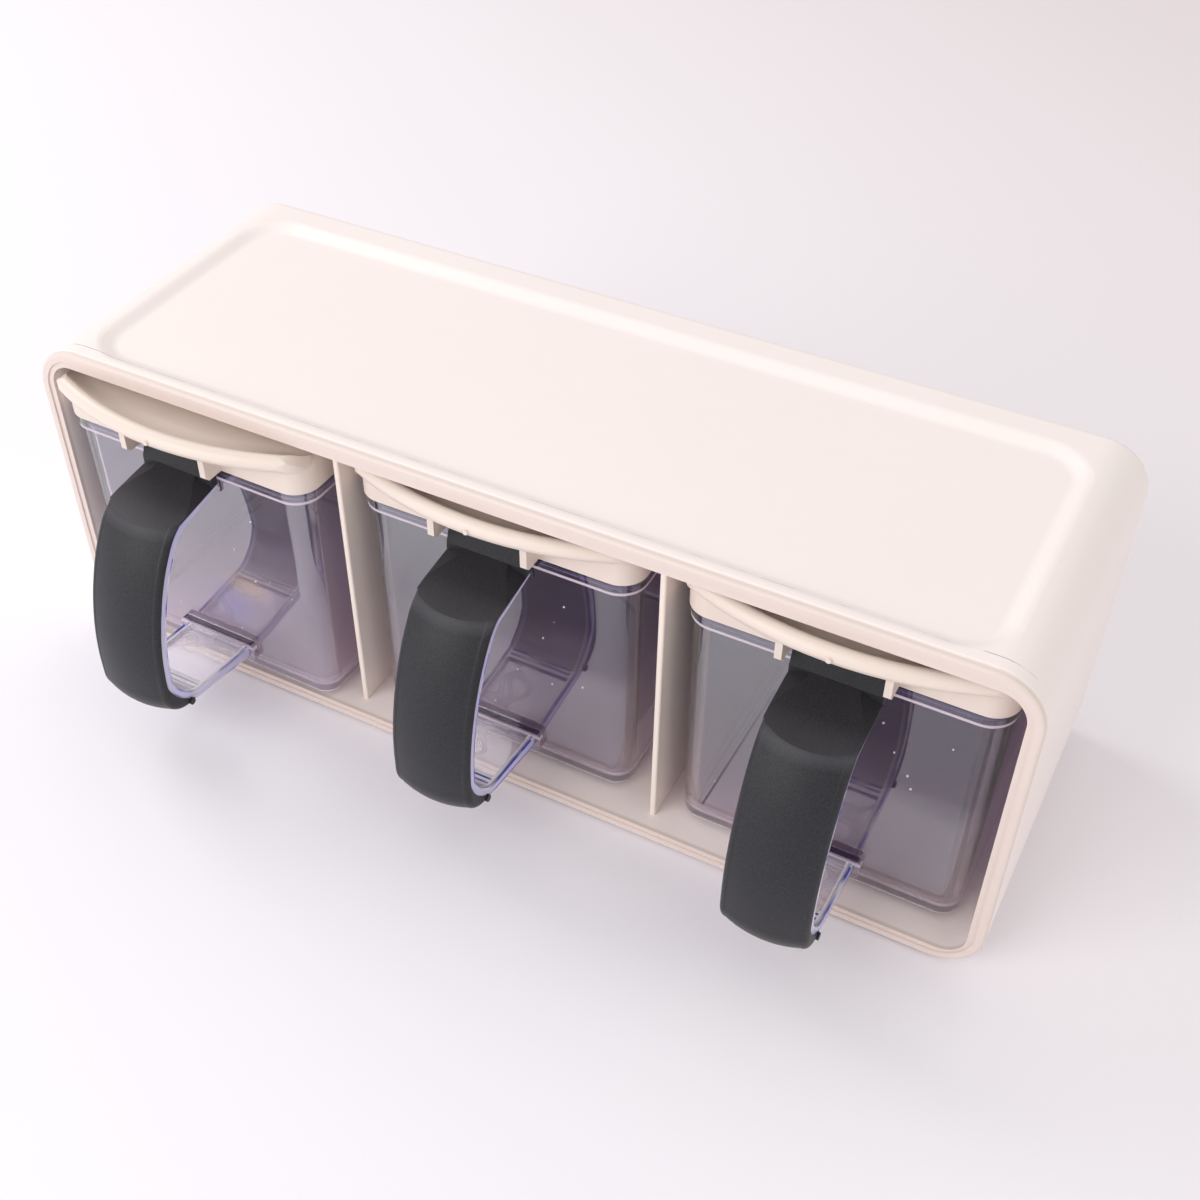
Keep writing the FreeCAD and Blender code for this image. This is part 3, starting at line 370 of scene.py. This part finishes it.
def jar_clear(side):
    """The container: a navy line of painted shade under the lid, a violet rim band, pale lines of
    painted highlight at rim, foot and floor, dark lines of painted shade at foot and socket, a
    painted veil, stress colours and a painted reflection line.
    """
    net = Net(side + "_jar_clear")
    x, y, z = own_measure(net, side)
    uneven = net.noise(70.0, 2.0)
    height = (z * 14.0 - 0.1 + uneven * 0.3).clamp()
    # painted shade: a navy line under the lid's skirt
    lid_shadow_line = between(z, 0.0859, 0.0875) * 0.92
    violet = between(z, 0.0846, 0.0859) * 0.6
    # painted shade: a dark line at the foot; painted highlights: pale lines at the rim, the foot
    # and the inside floor
    foot_dark = between(z, 0.0058, 0.0070) * 0.9
    rim_light = between(z, 0.0834, 0.0844) * 0.8
    foot_light = between(z, 0.0072, 0.0084, 0.0003) * 0.9
    floor_light = between(z, 0.0112, 0.0126, 0.0008) * uneven * 0.6
    # painted shade and a painted highlight where the handle's arm meets the wall
    socket = between(y, 0.0, 0.0085) * between(z, 0.0110, 0.0195)
    socket_dark = socket * between(z, 0.0186, 0.0196) * 0.95
    socket_light = socket * between(z, 0.0166, 0.0179, 0.0003) * 0.8
    # painted light: a pale veil, stronger towards the foot
    painted_veil = (1.0 - height) * PAINTED_VEIL[side]
    amber, blue, dark_reflection = stress_and_reflection_marks(side, x, y, z)
    painted_light_share = (rim_light + foot_light + floor_light + socket_light + painted_veil + amber * 0.55 + blue * 0.4)
    dark = (socket_dark + foot_dark * 0.6 + dark_reflection).clamp()
    painted_light_share = painted_light_share.clamp() * (1.0 - dark)
    lines = [(lid_shadow_line, paint(78, 72, 136)), (violet, paint(188, 180, 226)),
             (foot_dark, paint(84, 66, 92)), (socket_dark, paint(28, 26, 76)),
             (amber, paint(255, 220, 186)), (blue, paint(196, 196, 255)),
             (dark_reflection, paint(52, 46, 58))]
    # painted shade: the tint darkens towards the top
    tint = net.mix(height, *LIT_AND_SHADED_TINTS[side])
    upper = ((z - 0.046 + uneven * 0.004) * 110.0).clamp() * ((x + 0.004) * 90.0).clamp()
    painted_light_colour = net.mix(blue, paint(230, 214, 230), paint(186, 182, 244))
    painted_light_colour = net.mix(amber, painted_light_colour, paint(238, 206, 172))
    return smoky(net, tint, painted_light_colour, lines, painted_light_share, 2.3, (1.0 - upper * SHADE[side]) * (1.0 - dark))


def loop_clear(side):
    """The handle's frame: nearly colourless, with blue borders, a pale diffuse share of painted
    light, painted highlights beside the borders and painted wavy reflections on the arm.
    """
    net = Net(side + "_loop_clear")
    x, y, z = own_measure(net, side)
    low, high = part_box("middle_handle_frame")
    half = (high[0] - low[0]) / 2
    out = net.node("ShaderNodeMath", {"operation": "ABSOLUTE"}, {0: x})[0]
    streak = net.noise(45.0, 1.0)
    border = between(out, half - 0.0008, half + 0.001) * 0.75
    # painted highlights: pale lines beside the border and along its flank
    beside = between(out, half - 0.0019, half - 0.0011) * 0.7
    flank = between(out, half - 0.0004, half + 0.001) * (streak * 0.5 + 0.5)
    arm = between(z, 0.010, 0.0182, 0.001) * between(y, -0.02, 0.007, 0.001)
    # painted reflections: soft wavy lines on the arm
    painted_ripple = between(net.noise(48.0, 1.0), 0.490, 0.516, 0.016) * arm * (1.0 - flank) * 0.4
    # painted light: a pale diffuse share over the frame, less on the arm
    painted_light_share = (beside + flank + painted_ripple - arm * 0.42 + 0.58).clamp()
    painted_loop_light = net.mix(flank, paint(255, 250, 255), paint(206, 202, 252))
    painted_loop_light = net.mix(painted_ripple, painted_loop_light, paint(186, 172, 206))
    return smoky(net, paint(252, 248, 255), painted_loop_light, [(border, paint(128, 134, 230))], painted_light_share, 1.8)


for side in SIDES:
    dress([side + "_jar"], jar_clear(side))
    dress([side + "_handle_frame"], loop_clear(side))

# %% [markdown]
# ## Soft black, grey rubber and steel
# The grip is coated with a matt, soft-touch black that has a fine speckle, and the edge under the
# thumb rest carries a painted highlight, a lighter band. The feet are plain grey rubber.
# The hinge pins are drawn steel wire, with faint lines along them.

# %% Grip, feet and pins
def soft_touch(name, dark, light, rough, thumb_highlight=0.0):
    """Matt rubbery skin with a fine speckle; the last argument sets a painted highlight, a lighter
    band at the edge under the thumb.
    """
    net = Net(name)
    speckle = net.noise(2300.0, 2.0, 0.7)
    patch = net.noise(60.0, 3.0, 0.6)
    height = net.node("ShaderNodeSeparateXYZ", {}, {"Vector": net.place()})[2]
    # painted highlight: a lighter band on the rounded edge under the thumb rest
    edge = between(height, 0.0768, 0.0792, 0.0026) * (patch * 0.8 + 0.2) * thumb_highlight
    colour = net.mix(((speckle - 0.40) * 2.6).clamp(), dark, light)
    colour = net.mix(edge, colour, paint(96, 94, 100))
    gloss = patch * 0.1 + speckle * 0.06 + (rough - 0.08)
    normal = net.bump(speckle + patch * 0.3, 0.25, 0.00006)
    return net.surface(Base_Color=colour, Roughness=gloss, Normal=normal, Sheen_Weight=0.12,
                       Sheen_Roughness=0.5, Specular_IOR_Level=0.4)


def wire(name):
    """Drawn steel: lines along X."""
    net = Net(name)
    stretched = net.node("ShaderNodeMapping", {}, {
        "Vector": net.place(), "Scale": (20.0, 900.0, 900.0)})[0]
    lines = net.noise(4.0, 3.0, 0.6, stretched)
    colour = net.mix(lines, paint(176, 176, 180), paint(205, 205, 208))
    return net.surface(Base_Color=colour, Roughness=lines * 0.15 + 0.2, Metallic=1.0,
                       Normal=net.bump(lines, 0.1, 0.00005))


GRIP_BLACK = soft_touch("grip_black", paint(18, 17, 23), paint(43, 42, 50), 0.52, thumb_highlight=0.45)
FOOT_GREY = soft_touch("foot_grey", paint(120, 120, 122), paint(134, 134, 136), 0.7)
PIN_STEEL = wire("pin_steel")
dress([side + "_grip" for side in SIDES], GRIP_BLACK)
dress([name for name in NODES if name.startswith("foot")], FOOT_GREY)
dress([side + "_hinge_pin" for side in SIDES], PIN_STEEL)

# %% [markdown]
# ## One way to build with Geometry Nodes
# Small things that follow a path or repeat are made by node trees. A tree is built here from
# a short list of nodes, its sizes are named inputs, and it ends by turning instances into
# real mesh and giving them their material. The result is kept as a plain mesh and moved
# from the container's own measure to each container.

# %% Helpers for node trees
class Tree:
    """A Geometry Nodes tree with named inputs."""

    def __init__(self, name, sizes):
        self.tree = bpy.data.node_groups.new(name, "GeometryNodeTree")
        face = self.tree.interface
        face.new_socket("Geometry", in_out="INPUT", socket_type="NodeSocketGeometry")
        self.sizes = {}
        for key, value in sizes.items():
            kind = "NodeSocketInt" if isinstance(value, int) else "NodeSocketFloat"
            self.sizes[key] = (face.new_socket(key, in_out="INPUT", socket_type=kind), value)
        face.new_socket("Geometry", in_out="OUTPUT", socket_type="NodeSocketGeometry")
        self.given = self.tree.nodes.new("NodeGroupInput").outputs

    def add(self, kind, links=None, settings=None):
        """Add a node; links fills its inputs with sockets or values."""
        made = self.tree.nodes.new(kind)
        for key, value in (settings or {}).items():
            setattr(made, key, value)
        for key, value in (links or {}).items():
            if isinstance(value, bpy.types.NodeSocket):
                self.tree.links.new(value, made.inputs[key])
            else:
                made.inputs[key].default_value = value
        return made.outputs

    def finish(self, geometry, finish):
        """Real mesh, smooth, with its material."""
        solid = self.add("GeometryNodeRealizeInstances", {"Geometry": geometry})[0]
        smooth = self.add("GeometryNodeSetShadeSmooth", {"Geometry": solid})[0]
        made = self.add("GeometryNodeSetMaterial", {"Geometry": smooth, "Material": finish})[0]
        self.add("NodeGroupOutput", {"Geometry": made})

    def grow(self, name, points, edges, faces):
        """Run the tree on a small mesh and keep the result as a plain mesh."""
        base = bpy.data.meshes.new(name + "_base")
        base.from_pydata(points, edges, faces)
        piece = bpy.data.objects.new(name, base)
        bpy.context.scene.collection.objects.link(piece)
        modifier = piece.modifiers.new("nodes", "NODES")
        modifier.node_group = self.tree
        for socket, value in self.sizes.values():
            modifier[socket.identifier] = value
        piece.update_tag()
        seen = piece.evaluated_get(bpy.context.evaluated_depsgraph_get())
        made = bpy.data.meshes.new_from_object(seen)
        piece.modifiers.clear()
        piece.data = made
        return piece


def own_matrix(side):
    """From the container's own measure to where it stands."""
    x, y, turn = PLACES[side]
    return (Matrix.Translation((x, y, 0.0)) @ Matrix.Rotation(turn, 4, "Z")
            @ Matrix.Translation((0.0, -TURN_DEPTH, 0.0)))


def place_on(side, piece):
    """Move a piece to its container and let it ride there."""
    piece.data.transform(own_matrix(side))
    piece.data.update()
    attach(piece, side + "_jar_body")


print("node tree helpers ready")

# %% [markdown]
# ## The bright borders of a handle loop
# Where the clear frame meets the air its borders are rounded and catch the light as thin lines.
# The path is found on the solid itself: from the middle of the finger opening, rays go out in the
# plane of the frame's side, and where they enter and leave the frame lie the inner and outer
# border. A thin round bead in a pale, white to blue finish follows each path, a painted highlight
# for these lines.

# %% Borders of the loop
OPENING_MIDDLE = (-0.007, 0.042)
FIRST_RAY, RAY_SWEEP = 106, 190


def loop_paths(count=56):
    """Inner and outer border of the frame's side, in the container's own measure."""
    solid = bmesh.new()
    solid.from_mesh(NODES["middle_handle_frame"].data)
    solid.transform(own_matrix("middle").inverted())
    tree = BVHTree.FromBMesh(solid)
    half = max(vertex.co.x for vertex in solid.verts)
    solid.free()
    inner, outer = [], []
    start = Vector((half - 0.0003, *OPENING_MIDDLE))
    for step in range(count):
        angle = math.radians(FIRST_RAY + RAY_SWEEP * step / (count - 1))
        ray = Vector((0.0, math.cos(angle), math.sin(angle)))
        hit = tree.ray_cast(start, ray)[0]
        if hit is None:
            continue
        far = tree.ray_cast(hit + ray * 0.0002, ray, 0.02)[0]
        inner.append(hit + ray * 0.00015)
        if far is not None:
            outer.append(far - ray * 0.0003)
    return half, inner, outer


def painted_edge_highlight(name):
    """A painted highlight: white to blue, changing along the border."""
    net = Net(name)
    streak = net.noise(60.0, 2.0, 0.6)
    fine = net.noise(600.0, 2.0)
    colour = net.mix(((streak - 0.40) * 7.0).clamp(), paint(250, 247, 255), paint(84, 92, 208))
    return net.surface(Base_Color=colour, Roughness=fine * 0.1 + 0.1,
                       Normal=net.bump(fine, 0.1, 0.00003), Transmission_Weight=0.2, IOR=1.5,
                       Coat_Weight=1.0)


bead = Tree("bead_along_path", {"Bead radius": 0.00040})
track = bead.add("GeometryNodeMeshToCurve", {"Mesh": bead.given[0]})[0]
ring = bead.add("GeometryNodeCurvePrimitiveCircle", {"Resolution": 8, "Radius": bead.given[1]})[0]
tube = bead.add("GeometryNodeCurveToMesh", {
    "Curve": track, "Profile Curve": ring, "Fill Caps": True})[0]
bead.finish(tube, painted_edge_highlight("painted_edge_highlight"))

loop_half, inner_path, outer_path = loop_paths()
for side in SIDES:
    points, edges = [], []
    for flip in (1.0, -1.0):
        for run in (inner_path, outer_path):
            edges += [(len(points) + i, len(points) + i + 1) for i in range(len(run) - 1)]
            points += [(p.x * flip, p.y, p.z) for p in run]
    borders = bead.grow(side + "_loop_borders", points, edges, [])
    place_on(side, borders)
    print(borders.name, "faces:", len(borders.data.polygons))

# %% [markdown]
# ## Ribs at the toe of the loop
# Under the finger, where the arm turns up into the grip, the frame has a few small cross
# ribs that show as bright steps. They repeat along a line, so one rib is instanced.

# %% Toe ribs
def surface_under(y):
    """Height of the arm's upper face at a given depth, in the container's own measure."""
    solid = bmesh.new()
    solid.from_mesh(NODES["middle_handle_frame"].data)
    solid.transform(own_matrix("middle").inverted())
    hit = BVHTree.FromBMesh(solid).ray_cast(Vector((0.0, y, 0.04)), Vector((0.0, 0.0, -1.0)))[0]
    solid.free()
    return hit.z


ribs = Tree("toe_ribs", {"Rib length": 2 * loop_half - 0.0036, "Rib radius": 0.00032})
reach = ribs.add("ShaderNodeMath", {0: ribs.given[1], 1: 0.5}, {"operation": "MULTIPLY"})[0]
back = ribs.add("ShaderNodeMath", {0: ribs.given[1], 1: -0.5}, {"operation": "MULTIPLY"})[0]
first = ribs.add("ShaderNodeCombineXYZ", {0: back})[0]
last = ribs.add("ShaderNodeCombineXYZ", {0: reach})[0]
bar = ribs.add("GeometryNodeCurvePrimitiveLine", {"Start": first, "End": last})[0]
ring = ribs.add("GeometryNodeCurvePrimitiveCircle", {"Resolution": 8, "Radius": ribs.given[2]})[0]
rod = ribs.add("GeometryNodeCurveToMesh", {
    "Curve": bar, "Profile Curve": ring, "Fill Caps": True})[0]
rows = ribs.add("GeometryNodeInstanceOnPoints", {"Points": ribs.given[0], "Instance": rod})[0]
# the ribs take the painted highlight finish of the loop's borders
ribs.finish(rows, bpy.data.materials["painted_edge_highlight"])
RIB_DEPTHS = (-0.0165, -0.0148, -0.0131)
rows_at = [(0.0, y, surface_under(y)) for y in RIB_DEPTHS]
for side in SIDES:
    rib_piece = ribs.grow(side + "_toe_ribs", rows_at, [], [])
    place_on(side, rib_piece)
print("rib heights:", [round(row[2], 4) for row in rows_at])

# %% [markdown]
# ## Tiny bubbles
# Clear moulded walls hold a few bubbles and specks that glint. Points are strewn over the
# front wall with a fixed seed, and each gets a small sphere of its own size. A sphere lies
# half in the wall.

# %% Bubbles in the front wall
def bubble_white(name):
    """A bright speck."""
    net = Net(name)
    fine = net.noise(4000.0, 1.0)
    return net.surface(Base_Color=net.mix(fine, paint(232, 228, 242), paint(250, 248, 255)),
                       Roughness=fine * 0.1 + 0.08, Coat_Weight=0.6)


FIRST_SEED = 5
bubbles = Tree("bubbles", {
    "Bubbles per square metre": 5200.0, "Bubble radius": 0.00034, "Seed": FIRST_SEED})
strewn = bubbles.add("GeometryNodeDistributePointsOnFaces", {
    "Mesh": bubbles.given[0], "Density": bubbles.given[1], "Seed": bubbles.given[3]})[0]
ball = bubbles.add("GeometryNodeMeshIcoSphere", {"Radius": bubbles.given[2], "Subdivisions": 2})[0]
scale = bubbles.add("FunctionNodeRandomValue", {2: 0.45, 3: 1.25, "Seed": bubbles.given[3]})[1]
many = bubbles.add("GeometryNodeInstanceOnPoints", {
    "Points": strewn, "Instance": ball, "Scale": scale})[0]
bubbles.finish(many, bubble_white("bubble_white"))
WALL = [(0.004, 0.0084, 0.040), (0.036, 0.0084, 0.040),
        (0.036, 0.0081, 0.078), (0.004, 0.0081, 0.078)]
LOW_WALL = [(-0.034, 0.0087, 0.022), (0.030, 0.0087, 0.022),
            (0.030, 0.0086, 0.030), (-0.034, 0.0086, 0.030)]
seed_socket = bubbles.sizes["Seed"][0]
for index, side in enumerate(SIDES):
    bubbles.sizes["Seed"] = (seed_socket, FIRST_SEED + index)
    specks = bubbles.grow(side + "_bubbles", WALL + LOW_WALL, [], [(0, 1, 2, 3), (4, 5, 6, 7)])
    place_on(side, specks)
    print(specks.name, "faces:", len(specks.data.polygons))

# %% [markdown]
# ## Floor and light
# The object stands on a pale sheet, painted pinker and a little darker towards the back and the
# right: a painted falloff of the light. The strongest lamp is a broad one in front on the left, a
# smaller one stands at the left a little behind, a faint yellowish one fills from the right, and
# the world adds an even white.

# %% Floor
floor_mesh = bpy.data.meshes.new("floor")
sheet = bmesh.new()
HALF_SHEET = 3.0
bmesh.ops.create_grid(sheet, x_segments=1, y_segments=1, size=HALF_SHEET)
sheet.to_mesh(floor_mesh)
sheet.free()
floor = bpy.data.objects.new("floor", floor_mesh)
bpy.context.scene.collection.objects.link(floor)
net = Net("floor_sheet")
cloud = net.noise(1.5, 1.0)
across = net.node("ShaderNodeSeparateXYZ", {}, {"Vector": net.place()})
# painted light falloff: the sheet turns pinker and a little darker towards the back and the right
painted_falloff = (across[0] * 0.5 + across[1] * 0.9 + (cloud - 0.5) * 0.3 + 0.12).clamp()
floor_mesh.materials.append(net.surface(
    Base_Color=net.mix(painted_falloff, paint(246, 243, 249), paint(241, 228, 229)), Roughness=0.6,
    Specular_IOR_Level=0.2))
print("floor", round(floor.dimensions.x, 2), "m wide")

# %% Lights
def soft_light(name, place, aim, size, power, colour=(1.0, 1.0, 1.0)):
    """A square soft light that points at a place."""
    data = bpy.data.lights.new(name, "AREA")
    data.shape = "SQUARE"
    data.size = size
    data.energy = power
    data.color = colour
    lamp = bpy.data.objects.new(name, data)
    bpy.context.scene.collection.objects.link(lamp)
    lamp.location = place
    lamp.rotation_mode = "QUATERNION"
    lamp.rotation_quaternion = (Vector(aim) - Vector(place)).to_track_quat("-Z", "Y")


WORLD_STRENGTH = 0.67
soft_light("key", (-1.1, 0.25, 0.9), (0.0, 0.0, 0.05), 0.6, 4.8)
soft_light("front", (-0.55, -1.1, 0.72), (0.0, 0.0, 0.04), 1.0, 9.0)
soft_light("right", (1.2, -0.35, 0.7), (0.1, 0.0, 0.05), 1.0, 2.6, (0.97, 1.0, 0.9))
world = bpy.data.worlds.new("studio")
world.use_nodes = True
background = world.node_tree.nodes["Background"]
background.inputs["Color"].default_value = (1.0, 0.99, 0.985, 1.0)
background.inputs["Strength"].default_value = WORLD_STRENGTH
bpy.context.scene.world = world
bpy.context.scene.view_settings.view_transform = "Standard"
